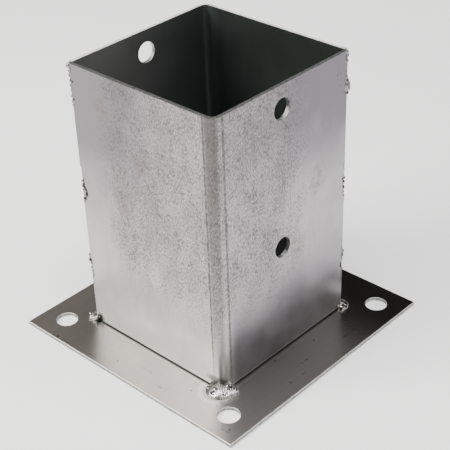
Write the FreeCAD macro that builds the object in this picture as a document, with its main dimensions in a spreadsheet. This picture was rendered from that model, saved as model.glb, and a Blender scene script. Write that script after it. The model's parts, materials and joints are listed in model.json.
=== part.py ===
import FreeCAD, Part
import math
import os

import Sketcher

# A post base: an open-top square sleeve that takes the foot of a timber post, on a flat plate.
# The sleeve is two equal angles, each bent once from flat sheet. They stand corner to corner,
# with an open groove at the two seams, and stitch welds in the grooves join them. Four corner
# beads fix the sleeve's foot to the plate, and the plate is screwed down through its corners.
#
# Millimetres, +Z up. The origin is the centre of the plate's underside. One bend looks
# towards +X -Y, the other towards -X +Y, and the seams stand at the other two corners.
# The two walls that face +X and -X carry the screw holes for the post.

SIZES = (
    ("inside_width", 91.0, "clear width of the socket, wall to wall"),
    ("sheet_gauge", 2.0, "thickness of the sleeve's sheet"),
    ("sleeve_height", 150.0, "height of the sleeve by itself"),
    ("inner_bend_radius", 3.0, "inside radius of each bend"),
    ("edge_roll", 0.45, "rounding that the shear leaves along the outer edge of a cut"),
    ("plate_width", 148.0, "side of the square plate"),
    ("plate_gauge", 2.0, "thickness of the plate"),
    ("plate_edge_roll", 0.3, "rounding along the plate's upper edges"),
    ("foot_gap", 0.3, "gap under the sleeve's cut foot"),
    ("sleeve_offset_x", -1.0, "how far the sleeve stands off the plate's centre along X"),
    ("sleeve_offset_y", -1.0, "how far the sleeve stands off the plate's centre along Y"),
    ("plate_hole_bore", 11.6, "diameter of the four anchor holes"),
    ("plate_hole_pitch", 118.5, "spacing of the anchor holes along X and along Y"),
    ("wall_hole_bore", 11.0, "diameter of the screw holes in the walls"),
    ("wall_hole_drop", 12.0, "upper wall hole's centre below the rim"),
    ("wall_hole_pitch", 75.0, "spacing of the two holes in a wall"),
    ("wall_hole_setback", 45.0, "wall holes' centre line from the outside of the bend"),
    ("stitch_radius", 2.3, "how far a stitch weld swells out of its groove"),
    ("ripple_pitch", 4.2, "spacing of the ripples along a stitch weld"),
    ("top_stitch_length", 23.0, "length of the stitch at the rim"),
    ("middle_stitch_length", 15.0, "length of the stitch at half height"),
    ("lower_stitch_length", 14.0, "length of the stitch near the foot"),
    ("middle_stitch_height", 77.0, "middle of that stitch above the sleeve's foot"),
    ("lower_stitch_height", 33.0, "middle of that stitch above the sleeve's foot"),
    ("seam_stagger", 3.0, "how much higher the left seam's stitches sit, and the right's lower"),
    ("foot_bead_width", 17.0, "width of the main pool of a bead at a bent corner"),
    ("seam_bead_width", 13.0, "width of the main pool of a bead at a seam's corner"),
    ("foot_bead_rise", 5.0, "how far a corner bead climbs the sleeve"),
)

# Share by which one ripple of a hand-laid stitch is fuller or leaner than the next, and the
# two angles, in radians, that set which ripples of a seam are the full ones
RIPPLE_SHARE = 0.08
RIPPLE_TURN = 2.4
SEAM_TURN = 1.3
# A ripple rises slowly to its crest, then falls steeply to the next one's foot: height of
# the crest as a share of the pitch, then the foot's radius as a share of the crest's
CREST_SHARE = 0.72
RIPPLE_FOOT_SHARE = 0.8
# Both ends of a stitch taper to this share of its radius
STITCH_END_SHARE = 0.45
# The melt gathers in a drop at the rim end of a top stitch
DROP_SHARE = 0.15
# A corner bead is three pools of melt that run into each other: place across the corner as
# a share of the half width, then shares of the full width and rise
POOLS = ((-0.3, 0.78, 0.82), (0.0, 1.0, 1.0), (0.34, 0.74, 0.7))
# A pool has set in rings: shares of its rise and of its radius at each ring, from the plate up
RINGS = ((0.0, 1.0), (0.46, 0.86), (0.82, 0.6), (1.0, 0.26))
# Middle of a bead inside the corner, as a share of the bend's outside radius
BEAD_INSET_SHARE = 0.3

# The outside radius of a bend, the half width of the sleeve and the height of its foot
OUTER_RADIUS = "(Sizes.inner_bend_radius + Sizes.sheet_gauge)"
HALF_WIDTH = "(Sizes.inside_width / 2 + Sizes.sheet_gauge)"
FOOT_HEIGHT = "(Sizes.plate_gauge + Sizes.foot_gap)"

TOLERANCE = 1e-4

doc = FreeCAD.newDocument("post_base")
sheet = doc.addObject("Spreadsheet::Sheet", "Sizes")
for row, (alias, value, meaning) in enumerate(SIZES, start=1):
    sheet.set("A%d" % row, meaning)
    sheet.set("B%d" % row, str(value))
    sheet.setAlias("B%d" % row, alias)
doc.recompute()
size = {alias: float(sheet.get(alias)) for alias, value, meaning in SIZES}

nodes = []


def place(part, x, y, z, turn=0.0):
    """Set a part down at expressions for x, y and z, turned about the upright axis."""
    part.Placement = FreeCAD.Placement(
        FreeCAD.Vector(0, 0, 0), FreeCAD.Rotation(FreeCAD.Vector(0, 0, 1), turn)
    )
    for axis, expression in (("x", x), ("y", y), ("z", z)):
        part.setExpression("Placement.Base." + axis, expression)


def new_sketch(body, name, role):
    """A sketch on one of the body's own origin planes."""
    sketch = body.newObject("Sketcher::SketchObject", name)
    plane = [item for item in body.Origin.OriginFeatures if item.Role == role][0]
    sketch.AttachmentSupport = (plane, [""])
    sketch.MapMode = "FlatFace"
    return sketch


def limit(sketch, name, expression, *constraint):
    """Add a driving dimension to a sketch, bound to an expression."""
    index = sketch.addConstraint(Sketcher.Constraint(*constraint))
    sketch.renameConstraint(index, name)
    sketch.setExpression("Constraints." + name, expression)


def cut_depth(pocket, expression):
    """Let a pocket cut to the same depth on both sides of its sketch."""
    pocket.Type = 0
    if hasattr(pocket, "SideType"):
        pocket.SideType = "Symmetric"
    else:
        pocket.Midplane = True
    pocket.setExpression("Length", expression)


def bent_section(sketch):
    """The angle's section: two legs and one bend, with the outside corner at the origin."""
    gauge = size["sheet_gauge"]
    inner = size["inner_bend_radius"]
    outer = inner + gauge
    leg = size["inside_width"] + gauge
    at = FreeCAD.Vector
    centre = at(-outer, outer, 0)
    up = at(0, 0, 1)

    def line(start, end):
        return sketch.addGeometry(Part.LineSegment(start, end), False)

    def arc(radius):
        circle = Part.Circle(centre, up, radius)
        return sketch.addGeometry(Part.ArcOfCircle(circle, 1.5 * math.pi, 2 * math.pi), False)

    outside_a = line(at(-leg, 0, 0), at(-outer, 0, 0))
    outside_bend = arc(outer)
    outside_b = line(at(0, outer, 0), at(0, leg, 0))
    end_b = line(at(0, leg, 0), at(-gauge, leg, 0))
    inside_b = line(at(-gauge, leg, 0), at(-gauge, outer, 0))
    inside_bend = arc(inner)
    inside_a = line(at(-outer, gauge, 0), at(-leg, gauge, 0))
    end_a = line(at(-leg, gauge, 0), at(-leg, 0, 0))

    start, end, middle = 1, 2, 3

    def add(*parts):
        sketch.addConstraint(Sketcher.Constraint(*parts))

    add("Tangent", outside_a, end, outside_bend, start)
    add("Tangent", outside_bend, end, outside_b, start)
    add("Coincident", outside_b, end, end_b, start)
    add("Coincident", end_b, end, inside_b, start)
    add("Tangent", inside_b, end, inside_bend, end)
    add("Tangent", inside_bend, start, inside_a, start)
    add("Coincident", inside_a, end, end_a, start)
    add("Coincident", end_a, end, outside_a, start)
    add("Coincident", inside_bend, middle, outside_bend, middle)
    add("Horizontal", outside_a)
    add("Vertical", outside_b)
    add("Horizontal", end_b)
    add("Vertical", end_a)
    add("PointOnObject", outside_a, start, -1)
    add("PointOnObject", outside_b, end, -2)
    leg_length = "Sizes.inside_width + Sizes.sheet_gauge"
    limit(sketch, "leg_a", leg_length, "DistanceX", outside_a, start, -1, start, leg)
    limit(sketch, "leg_b", leg_length, "DistanceY", -1, start, outside_b, end, leg)
    limit(sketch, "bend_outside", OUTER_RADIUS, "Radius", outside_bend, outer)
    limit(sketch, "bend_inside", "Sizes.inner_bend_radius", "Radius", inside_bend, inner)


def rim_edges(shape, height):
    """Names of the outer edges of the rim, which the shear has rolled over."""
    names = []
    for index, edge in enumerate(shape.Edges, start=1):
        box = edge.BoundBox
        level = abs(box.ZMin - height) < TOLERANCE and abs(box.ZMax - height) < TOLERANCE
        on_a = abs(box.YMin) < TOLERANCE and abs(box.YMax) < TOLERANCE
        on_b = abs(box.XMin) < TOLERANCE and abs(box.XMax) < TOLERANCE
        on_bend = abs(box.YMin) < TOLERANCE and abs(box.XMax) < TOLERANCE
        if level and (on_a or on_b or on_bend):
            names.append("Edge%d" % index)
    return names


def bent_angle(label, side):
    """One angle of the sleeve, with its two screw holes in the leg that faces side * X."""
    body = doc.addObject("PartDesign::Body", label)
    body.Label = label
    profile = new_sketch(body, label + "_profile", "XY_Plane")
    bent_section(profile)
    pad = body.newObject("PartDesign::Pad", label + "_pad")
    pad.Profile = profile
    pad.setExpression("Length", "Sizes.sleeve_height")
    doc.recompute()

    holes = new_sketch(body, label + "_holes", "YZ_Plane")
    radius = size["wall_hole_bore"] / 2
    setback = size["wall_hole_setback"]
    drop = "Sizes.wall_hole_drop"
    rows = (("upper", drop, 0.0), ("lower", drop + " + Sizes.wall_hole_pitch", 1.0))
    for name, depth, step in rows:
        height = size["sleeve_height"] - size["wall_hole_drop"] - step * size["wall_hole_pitch"]
        ring = Part.Circle(FreeCAD.Vector(setback, height, 0), FreeCAD.Vector(0, 0, 1), radius)
        circle = holes.addGeometry(ring, False)
        limit(holes, name + "_bore", "Sizes.wall_hole_bore / 2", "Radius", circle, radius)
        limit(holes, name + "_setback", "Sizes.wall_hole_setback",
              "DistanceX", -1, 1, circle, 3, setback)
        limit(holes, name + "_height", "Sizes.sleeve_height - (%s)" % depth,
              "DistanceY", -1, 1, circle, 3, height)
    pocket = body.newObject("PartDesign::Pocket", label + "_pocket")
    pocket.Profile = holes
    cut_depth(pocket, "4 * Sizes.sheet_gauge")
    doc.recompute()

    roll = body.newObject("PartDesign::Fillet", label + "_edge_roll")
    roll.Base = (pocket, rim_edges(pocket.Shape, size["sleeve_height"]))
    roll.setExpression("Radius", "min(Sizes.edge_roll, Sizes.sheet_gauge / 2)")
    body.Tip = roll
    place(
        body,
        "%d * %s + Sizes.sleeve_offset_x" % (side, HALF_WIDTH),
        "%d * %s + Sizes.sleeve_offset_y" % (-side, HALF_WIDTH),
        FOOT_HEIGHT,
        0.0 if side > 0 else 180.0,
    )
    doc.recompute()
    holes_volume = 2 * math.pi * radius ** 2 * size["sheet_gauge"]
    if abs(pad.Shape.Volume - pocket.Shape.Volume - holes_volume) > TOLERANCE * pad.Shape.Volume:
        raise RuntimeError(label + ": the screw holes do not go through the wall")
    nodes.append(body)
    return body


def base_plate():
    """The square plate, sheared from sheet, with an anchor hole near each corner."""
    body = doc.addObject("PartDesign::Body", "base_plate")
    body.Label = "base_plate"
    outline = new_sketch(body, "plate_outline", "XY_Plane")
    half = size["plate_width"] / 2
    quarters = ((-1, -1), (1, -1), (1, 1), (-1, 1))
    corners = [FreeCAD.Vector(x * half, y * half, 0) for x, y in quarters]
    for index, corner in enumerate(corners):
        outline.addGeometry(Part.LineSegment(corner, corners[(index + 1) % 4]), False)
    for index in range(4):
        outline.addConstraint(Sketcher.Constraint("Coincident", index, 2, (index + 1) % 4, 1))
    for index, direction in enumerate(("Horizontal", "Vertical", "Horizontal", "Vertical")):
        outline.addConstraint(Sketcher.Constraint(direction, index))
    outline.addConstraint(Sketcher.Constraint("Symmetric", 0, 1, 1, 2, -1, 1))
    limit(outline, "width", "Sizes.plate_width", "DistanceX", 0, 1, 0, 2, 2 * half)
    limit(outline, "depth", "Sizes.plate_width", "DistanceY", 1, 1, 1, 2, 2 * half)
    pad = body.newObject("PartDesign::Pad", "plate_pad")
    pad.Profile = outline
    pad.setExpression("Length", "Sizes.plate_gauge")
    doc.recompute()

    anchor = new_sketch(body, "anchor_hole", "XY_Plane")
    radius = size["plate_hole_bore"] / 2
    reach = size["plate_hole_pitch"] / 2
    ring = Part.Circle(FreeCAD.Vector(reach, reach, 0), FreeCAD.Vector(0, 0, 1), radius)
    circle = anchor.addGeometry(ring, False)
    limit(anchor, "bore", "Sizes.plate_hole_bore / 2", "Radius", circle, radius)
    limit(anchor, "reach_x", "Sizes.plate_hole_pitch / 2", "DistanceX", -1, 1, circle, 3, reach)
    limit(anchor, "reach_y", "Sizes.plate_hole_pitch / 2", "DistanceY", -1, 1, circle, 3, reach)
    pocket = body.newObject("PartDesign::Pocket", "anchor_pocket")
    pocket.Profile = anchor
    cut_depth(pocket, "4 * Sizes.plate_gauge")
    doc.recompute()
    pattern = body.newObject("PartDesign::PolarPattern", "anchor_pattern")
    pattern.Originals = [pocket]
    upright = [item for item in body.Origin.OriginFeatures if item.Role == "Z_Axis"][0]
    pattern.Axis = (upright, [""])
    pattern.Angle = 360
    pattern.Occurrences = 4
    body.Tip = pattern
    doc.recompute()

    roll = body.newObject("PartDesign::Fillet", "plate_edge_rolled")
    top = size["plate_gauge"]
    names = []
    for index, edge in enumerate(pattern.Shape.Edges, start=1):
        level = abs(edge.BoundBox.ZMin - top) < TOLERANCE
        if level and edge.Curve.TypeId == "Part::GeomLine":
            names.append("Edge%d" % index)
    roll.Base = (pattern, names)
    roll.setExpression("Radius", "min(Sizes.plate_edge_roll, Sizes.plate_gauge / 2)")
    body.Tip = roll
    doc.recompute()
    holes_volume = 4 * math.pi * radius ** 2 * top
    if abs(pad.Shape.Volume - pattern.Shape.Volume - holes_volume) > TOLERANCE * pad.Shape.Volume:
        raise RuntimeError("the anchor holes do not go through the plate")
    nodes.append(body)
    return body


def turned_form(name, levels, length, length_share, radius, radius_share, angle):
    """A solid turned about its upright axis from its own origin, from +X towards +Y.

    Levels are shares of the length and of the radius, which are shares of named sizes.
    """
    body = doc.addObject("PartDesign::Body", name)
    body.Label = name
    profile = new_sketch(body, name + "_profile", "XZ_Plane")
    tall = length_share * size[length]
    wide = radius_share * size[radius]
    points = [(0.0, 0.0)] + [(high, out) for high, out in levels] + [(levels[-1][0], 0.0)]
    at = [FreeCAD.Vector(out * wide, high * tall, 0) for high, out in points]
    last = len(points) - 1
    for index in range(last + 1):
        profile.addGeometry(Part.LineSegment(at[index], at[(index + 1) % (last + 1)]), False)
    for index in range(last + 1):
        joined = (index + 1) % (last + 1)
        profile.addConstraint(Sketcher.Constraint("Coincident", index, 2, joined, 1))
    profile.addConstraint(Sketcher.Constraint("Coincident", 0, 1, -1, 1))
    profile.addConstraint(Sketcher.Constraint("PointOnObject", 1, 1, -1))
    profile.addConstraint(Sketcher.Constraint("PointOnObject", last, 1, -2))
    profile.addConstraint(Sketcher.Constraint("Horizontal", last - 1))
    for index in range(1, last):
        high, out = points[index]
        limit(profile, "radius_%d" % index, "%.5f * Sizes.%s" % (out * radius_share, radius),
              "DistanceX", -1, 1, index, 1, out * wide)
        if index > 1:
            limit(profile, "level_%d" % index, "%.5f * Sizes.%s" % (high * length_share, length),
                  "DistanceY", -1, 1, index, 1, high * tall)
    turn = body.newObject("PartDesign::Revolution", name + "_turn")
    turn.Profile = profile
    turn.ReferenceAxis = (profile, ["V_Axis"])
    turn.Angle = angle
    body.Tip = turn
    doc.recompute()
    return body


def stitch_weld(label, side, length, height, stagger, drop_share):
    """A stitch of ripples that fills the open groove of one seam, laid from the foot up.

    It is a quarter of a turned form, which lies between the two cut ends of the sheets.
    """
    count = max(3, round(size[length] / size["ripple_pitch"]))
    levels = [(0.0, STITCH_END_SHARE)]
    for index in range(count):
        fullness = 1.0 + RIPPLE_SHARE * math.sin(RIPPLE_TURN * index + SEAM_TURN * side)
        if index == count - 1:
            fullness = 1.0 + drop_share
        levels.append(((index + CREST_SHARE) / count, fullness))
        levels.append(((index + 1) / count, RIPPLE_FOOT_SHARE * fullness))
    levels[-1] = (1.0, STITCH_END_SHARE)
    stitch = turned_form(label, levels, length, 1.0, "stitch_radius", 1.0, 90)
    place(
        stitch,
        "%d * Sizes.inside_width / 2 + Sizes.sleeve_offset_x" % side,
        "%d * Sizes.inside_width / 2 + Sizes.sleeve_offset_y" % side,
        "%s + %s + %s - Sizes.%s / 2" % (FOOT_HEIGHT, height, stagger, length),
        0.0 if side > 0 else 180.0,
    )
    nodes.append(stitch)
    return stitch


def corner_bead(label, x_side, y_side, bent, lean):
    """A bead of weld round one corner of the sleeve's foot, lying on the plate.

    It is made with the sleeve's corner at the origin and the sleeve towards +X +Y, then
    turned to its corner. The sleeve is cut away from it, so the two meet face to face.
    """
    inset = "%.2f * %s" % (BEAD_INSET_SHARE, OUTER_RADIUS)
    width = "foot_bead_width" if bent else "seam_bead_width"
    pools = []
    for index, (across, breadth, height) in enumerate(POOLS, start=1):
        name = "%s_pool_%d" % (label, index)
        pool = turned_form(name, RINGS, "foot_bead_rise", height, width, breadth / 2, 360)
        offset = "%.4f * Sizes.%s / 2" % ((across + lean) * math.sqrt(0.5), width)
        place(pool, "%s + %s" % (inset, offset), "%s - %s" % (inset, offset), "0 mm")
        pools.append(pool)
    melt = doc.addObject("Part::MultiFuse", label + "_melt")
    melt.Shapes = pools

    room = "2 * (Sizes.foot_bead_width + Sizes.foot_bead_rise)"
    edge = OUTER_RADIUS if bent else "Sizes.sheet_gauge"
    walls = []
    for index, (x, y) in enumerate(((edge, "0"), ("0", edge)), start=1):
        wall = doc.addObject("Part::Box", "%s_wall_%d" % (label, index))
        for name in ("Length", "Width", "Height"):
            wall.setExpression(name, room)
        place(wall, x, y, "-Sizes.foot_bead_rise")
        walls.append(wall)
    if bent:
        bend = doc.addObject("Part::Cylinder", label + "_bend")
        bend.setExpression("Radius", OUTER_RADIUS)
        bend.setExpression("Height", room)
        place(bend, OUTER_RADIUS, OUTER_RADIUS, "-Sizes.foot_bead_rise")
        walls.append(bend)
    bead = melt
    for index, wall in enumerate(walls, start=1):
        name = label if wall is walls[-1] else "%s_cut_%d" % (label, index)
        cut = doc.addObject("Part::Cut", name)
        cut.Base = bead
        cut.Tool = wall
        bead = cut
    bead.Label = label
    turn = {(-1, -1): 0.0, (1, -1): 90.0, (1, 1): 180.0, (-1, 1): 270.0}[(x_side, y_side)]
    place(
        bead,
        "%d * %s + Sizes.sleeve_offset_x" % (x_side, HALF_WIDTH),
        "%d * %s + Sizes.sleeve_offset_y" % (y_side, HALF_WIDTH),
        "Sizes.plate_gauge",
        turn,
    )
    nodes.append(bead)
    return bead


base_plate()
bent_angle("front_angle", 1)
bent_angle("rear_angle", -1)
STITCHES = (
    ("top", "top_stitch_length", "(Sizes.sleeve_height - Sizes.top_stitch_length / 2)", 0, DROP_SHARE),
    ("middle", "middle_stitch_length", "Sizes.middle_stitch_height", 1, 0.0),
    ("lower", "lower_stitch_length", "Sizes.lower_stitch_height", 1, 0.0),
)
for seam, side in (("left", -1), ("right", 1)):
    for name, length, height, staggered, drop_share in STITCHES:
        stagger = "%d * Sizes.seam_stagger" % (-side * staggered)
        stitch_weld("%s_seam_weld_%s" % (seam, name), side, length, height, stagger, drop_share)
# Each bead leans a little to one side of its corner, by a share of its half width
corner_bead("foot_weld_front", 1, -1, True, -0.14)
corner_bead("foot_weld_right", 1, 1, False, 0.05)
corner_bead("foot_weld_back", -1, 1, True, 0.06)
corner_bead("foot_weld_left", -1, -1, False, -0.05)
doc.recompute()

for item in doc.Objects:
    if "Invalid" in item.State or "Error" in item.State:
        raise RuntimeError("%s did not build: %s" % (item.Label, item.State))
for node in nodes:
    shape = node.Shape
    if shape.isNull() or not shape.isValid() or len(shape.Solids) != 1:
        raise RuntimeError("%s is not one valid solid" % node.Label)

os.makedirs("parts", exist_ok=True)
for node in nodes:
    node.Shape.exportStep(os.path.join("parts", node.Label + ".step"))
    box = node.Shape.BoundBox
    low = (box.XMin, box.YMin, box.ZMin)
    high = (box.XMax, box.YMax, box.ZMax)
    print("%-24s volume %10.2f  from %7.2f %7.2f %7.2f  to %7.2f %7.2f %7.2f"
          % ((node.Label, node.Shape.Volume) + low + high))
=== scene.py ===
import json
import math

import bpy
from mathutils import Matrix, Vector, noise


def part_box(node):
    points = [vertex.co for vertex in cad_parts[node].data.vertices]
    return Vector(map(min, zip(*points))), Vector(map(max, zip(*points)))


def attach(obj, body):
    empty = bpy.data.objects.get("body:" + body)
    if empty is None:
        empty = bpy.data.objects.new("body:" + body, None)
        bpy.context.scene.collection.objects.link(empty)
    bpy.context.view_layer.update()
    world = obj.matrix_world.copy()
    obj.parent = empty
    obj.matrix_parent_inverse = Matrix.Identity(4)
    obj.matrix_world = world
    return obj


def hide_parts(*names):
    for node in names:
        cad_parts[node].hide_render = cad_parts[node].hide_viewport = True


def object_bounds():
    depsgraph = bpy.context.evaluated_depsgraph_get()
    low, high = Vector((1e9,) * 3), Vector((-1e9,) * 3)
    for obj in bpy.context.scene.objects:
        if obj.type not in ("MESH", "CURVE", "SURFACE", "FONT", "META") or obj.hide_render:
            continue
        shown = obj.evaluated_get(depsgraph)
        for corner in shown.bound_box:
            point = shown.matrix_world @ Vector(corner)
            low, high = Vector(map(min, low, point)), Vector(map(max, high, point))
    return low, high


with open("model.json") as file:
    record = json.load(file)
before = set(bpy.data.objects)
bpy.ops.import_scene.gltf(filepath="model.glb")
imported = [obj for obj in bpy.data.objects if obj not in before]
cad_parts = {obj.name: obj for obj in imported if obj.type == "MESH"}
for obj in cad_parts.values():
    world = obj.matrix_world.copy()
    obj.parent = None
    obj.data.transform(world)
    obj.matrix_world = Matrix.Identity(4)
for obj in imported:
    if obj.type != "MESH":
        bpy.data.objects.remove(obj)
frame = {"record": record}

bl_info = {
    "name": "Post Base",
    "version": (1, 0, 0),
    "blender": (4, 5, 0),
    "location": "View3D > Sidebar > Post Base",
    "description": "Dresses a welded sheet sleeve on a flat plate, which holds the foot of a post",
    "category": "Object",
}

MM = 0.001
# A distance that counts as none, and one that counts as near
HAIR = 0.001 * MM
NEAR = 0.05 * MM
# Length of a drill that goes through any sheet
THROUGH = 12 * MM
# Sides of a drilled hole
SIDES = 72
# The finest detail that the melt of a stitch and of a foot weld keeps
STITCH_DETAIL = 0.12 * MM
BEAD_DETAIL = 0.17 * MM
BODY = "root"
CAD_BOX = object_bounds()
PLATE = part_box("base_plate")
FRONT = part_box("front_angle")
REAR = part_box("rear_angle")
MOUNTS = {mount["name"]: mount for mount in frame["record"]["mounts"]}


def colour(text):
    """Linear colour of an sRGB hex value."""
    parts = [int(text[i:i + 2], 16) / 255 for i in (1, 3, 5)]
    return [p / 12.92 if p <= 0.04045 else ((p + 0.055) / 1.055) ** 2.4 for p in parts] + [1.0]


def length(name, description, default):
    """A size in metres that a user can change in the sidebar."""
    return bpy.props.FloatProperty(
        name=name, description=description, default=default, min=0.0, unit="LENGTH", precision=5
    )


def tint(name, description, default):
    """A colour that a user can change in the sidebar."""
    return bpy.props.FloatVectorProperty(
        name=name, description=description, default=colour(default)[:3], subtype="COLOR", size=3
    )


class PostBaseSizes(bpy.types.PropertyGroup):
    """Sizes of the dressed piece that the frame's boxes and mounts don't hold."""

    gauge: length("Sheet Gauge", "Thickness of the sleeve's sheet", FRONT[1].x - REAR[1].x)
    bend: length("Bend Radius", "Outside radius of a bend", 5 * MM)
    rim_roll: length("Rim Roll-over", "Rounding that the shear leaves on a rim", 0.45 * MM)
    foot_roll: length("Foot Roll-over", "Rounding of the foot's outer edge", 0.45 * MM)
    deburr: length("Cut Rounding", "Small rounding of every other cut edge", 0.14 * MM)
    bead_ripple: length("Bead Ripple", "Pitch of a foot weld's ripples", 1.05 * MM)
    plate_roll: length("Plate Roll-over", "Rounding of the plate's upper edges", 0.3 * MM)


class PostBaseColours(bpy.types.PropertyGroup):
    """Colours of the finishes, and of the shade and highlights painted into some of them."""

    zinc: tint("Zinc", "Clean dull zinc on the sleeve", "#B7B5B4")
    # Also the tone of the painted shade near the rim, the seams and low on the +X leg
    zinc_shade: tint("Zinc Shade", "Duller zinc near the rim and the seams", "#777578")
    # A painted bluish cast of reflected light on the leg that faces +X
    painted_blue_cast: tint("Blue Cast", "Tints the leg that faces +X a little bluer", "#FAF8FD")
    speck: tint("Speck", "Dark flecks in the zinc", "#4B494A")
    washed: tint("Washed Edge", "Sheet edge that the arc has washed", "#8E8992")
    tool_band: tint("Bend Band", "The browner band that the bending die has rubbed", "#5E5A58")
    smudge: tint("Smudge", "Brownish marks of handling", "#6C5D55")
    # Painted shade: the inner faces get a much darker copy of the zinc
    inside: tint("Inner Faces", "The sheets' inner faces", "#5C6564")
    inside_streak: tint("Inner Streaks", "Lighter streaks down the inner faces", "#6F7776")
    plate: tint("Plate", "The plate's satin zinc", "#B2AEA9")
    cut: tint("Cut Face", "The torn face of a shear cut", "#A3A6A3")
    # Also the dark of the painted shade with the heat tint above the foot welds
    cut_shade: tint("Cut Face Shade", "Dark dots in the torn face", "#3F4341")
    # Also a painted highlight on the rear sheet's flat rim
    bright: tint("Bright Edge", "A lip of the cut rubbed bright", "#E6E4E1")
    weld: tint("Weld", "Bright weld metal", "#C6C3BF")
    seam_weld: tint("Seam Weld", "Duller weld metal in the seams", "#9D979C")
    # Soot in the welds' hollows, and also painted shade in the gap over the plate, inside the
    # socket and on two foot beads
    soot_and_shade: tint("Soot", "Black in the hollows of a weld", "#231F1D")
    floor: tint("Floor", "The pale studio floor", "#FAFAFA")


class PostBaseStage(bpy.types.PropertyGroup):
    """The camera, which stands where the photograph's camera stood."""

    lens: bpy.props.FloatProperty(
        name="Lens", description="Focal length on a 36 mm sensor", default=93.44, min=1.0
    )
    place: bpy.props.FloatVectorProperty(
        name="Camera Place", description="Where the camera stands",
        default=(0.35475, -0.36455, 0.38040), unit="LENGTH", subtype="TRANSLATION"
    )
    turn: bpy.props.FloatVectorProperty(
        name="Camera Turn", description="The camera's tilt, roll and heading",
        default=[math.radians(a) for a in (56.339, 1.822, 42.678)], unit="ROTATION",
        subtype="EULER"
    )
    shift: bpy.props.FloatProperty(
        name="Camera Shift", description="Upward shift of the picture as a share of its width",
        default=25 / 450
    )


# Modelling helpers


def clear_selection():
    """Nothing stays selected, so an operator acts on new work alone."""
    if bpy.context.object and bpy.context.object.mode != "OBJECT":
        bpy.ops.object.mode_set(mode="OBJECT")
    bpy.ops.object.select_all(action="DESELECT")


def only(piece):
    """Select one object and make it the active one."""
    clear_selection()
    piece.select_set(True)
    bpy.context.view_layer.objects.active = piece


def pick_edges(piece, test):
    """Select the edges whose two ends pass a test."""
    bpy.ops.mesh.select_mode(type="EDGE")
    bpy.ops.mesh.select_all(action="DESELECT")
    bpy.ops.object.mode_set(mode="OBJECT")
    mesh = piece.data
    for edge in mesh.edges:
        edge.select = bool(test(*[mesh.vertices[i].co for i in edge.vertices]))
        if edge.select:
            for i in edge.vertices:
                mesh.vertices[i].select = True
    bpy.ops.object.mode_set(mode="EDIT")


def settle(piece):
    """Write an object's place, turn and scale into its mesh."""
    only(piece)
    bpy.ops.object.transform_apply(location=True, rotation=True, scale=True)


def apply_modifier(piece, kind, **values):
    """Add one modifier, set it up and apply it."""
    only(piece)
    modifier = piece.modifiers.new(kind.title(), kind)
    for name, value in values.items():
        setattr(modifier, name, value)
    bpy.ops.object.modifier_apply(modifier=modifier.name)


def subtract(piece, cutter):
    """Cut one closed mesh out of another and throw the cutter away."""
    apply_modifier(piece, "BOOLEAN", operation="DIFFERENCE", object=cutter, solver="EXACT")
    mesh = cutter.data
    bpy.data.objects.remove(cutter)
    bpy.data.meshes.remove(mesh)


def drill(piece, place, axis, radius):
    """Drill a round hole through a piece along an axis."""
    clear_selection()
    turn = Vector(axis).to_track_quat("Z", "Y").to_euler()
    bpy.ops.mesh.primitive_cylinder_add(
        vertices=SIDES, radius=radius, depth=THROUGH, location=place, rotation=turn
    )
    cutter = bpy.context.object
    settle(cutter)
    subtract(piece, cutter)


def weigh_edges(piece, rule):
    """Give each edge the bevel weight that a rule returns for its two ends."""
    mesh = piece.data
    weights = mesh.attributes.get("bevel_weight_edge")
    if weights is None:
        weights = mesh.attributes.new("bevel_weight_edge", "FLOAT", "EDGE")
    normals = {}
    for face in mesh.polygons:
        for key in face.edge_keys:
            normals.setdefault(key, []).append(face.normal)
    for edge in mesh.edges:
        pair = normals.get(tuple(sorted(edge.vertices)), [])
        sharp = len(pair) == 2 and pair[0].angle(pair[1], 0.0) > math.radians(40)
        ends = [mesh.vertices[i].co for i in edge.vertices]
        weights.data[edge.index].value = rule(*ends) if sharp else 0.0


def smooth(piece, angle=32):
    """Smooth shading up to an angle, with the flat faces leading the normals."""
    only(piece)
    bpy.ops.object.shade_smooth_by_angle(angle=math.radians(angle))
    apply_modifier(piece, "WEIGHTED_NORMAL", mode="FACE_AREA", weight=50, keep_sharp=True)


def finish_piece(piece, slot, *nodes):
    """Put a finished piece on its body in place of the CAD nodes it stands for."""
    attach(piece, BODY)
    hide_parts(*nodes)


def paint(piece, *materials):
    """Give a piece its materials, the first of them all over."""
    piece.data.materials.clear()
    for material in materials:
        piece.data.materials.append(material)


def paint_faces(piece, rule):
    """Give each face the one of the piece's materials whose number a rule returns for it."""
    for face in piece.data.polygons:
        face.material_index = rule(face)


# Material helpers


def feed(tree, socket, value):
    """Link an input to an output, or to a node's first output in use, or set it to a constant."""
    if isinstance(value, bpy.types.Node):
        value = next(output for output in value.outputs if output.enabled)
    if isinstance(value, bpy.types.NodeSocket):
        tree.links.new(value, socket)
    else:
        socket.default_value = value


def add(tree, kind, inputs=(), **values):
    """Add a node, set its properties, and feed its inputs in order, or by name or number."""
    node = tree.nodes.new("ShaderNode" + kind)
    for name, value in values.items():
        setattr(node, name, value)
    for name, value in inputs.items() if isinstance(inputs, dict) else enumerate(inputs):
        feed(tree, node.inputs[name], value)
    return node


def start_material(name):
    """An empty node material with its shader, and the piece's own coordinates in metres."""
    material = bpy.data.materials.new(name)
    material.use_nodes = True
    tree = material.node_tree
    tree.nodes.clear()
    shader = add(tree, "BsdfPrincipled")
    add(tree, "OutputMaterial", {"Surface": shader})
    place = add(tree, "TexCoord").outputs["Object"]
    return material, tree, shader, place


# Eases a value from one range to another
EASED = {"interpolation_type": "SMOOTHSTEP"}


def cycles_per_metre(size_mm):
    """Scale of a pattern whose features are this many millimetres across."""
    return 1000.0 / size_mm


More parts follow.
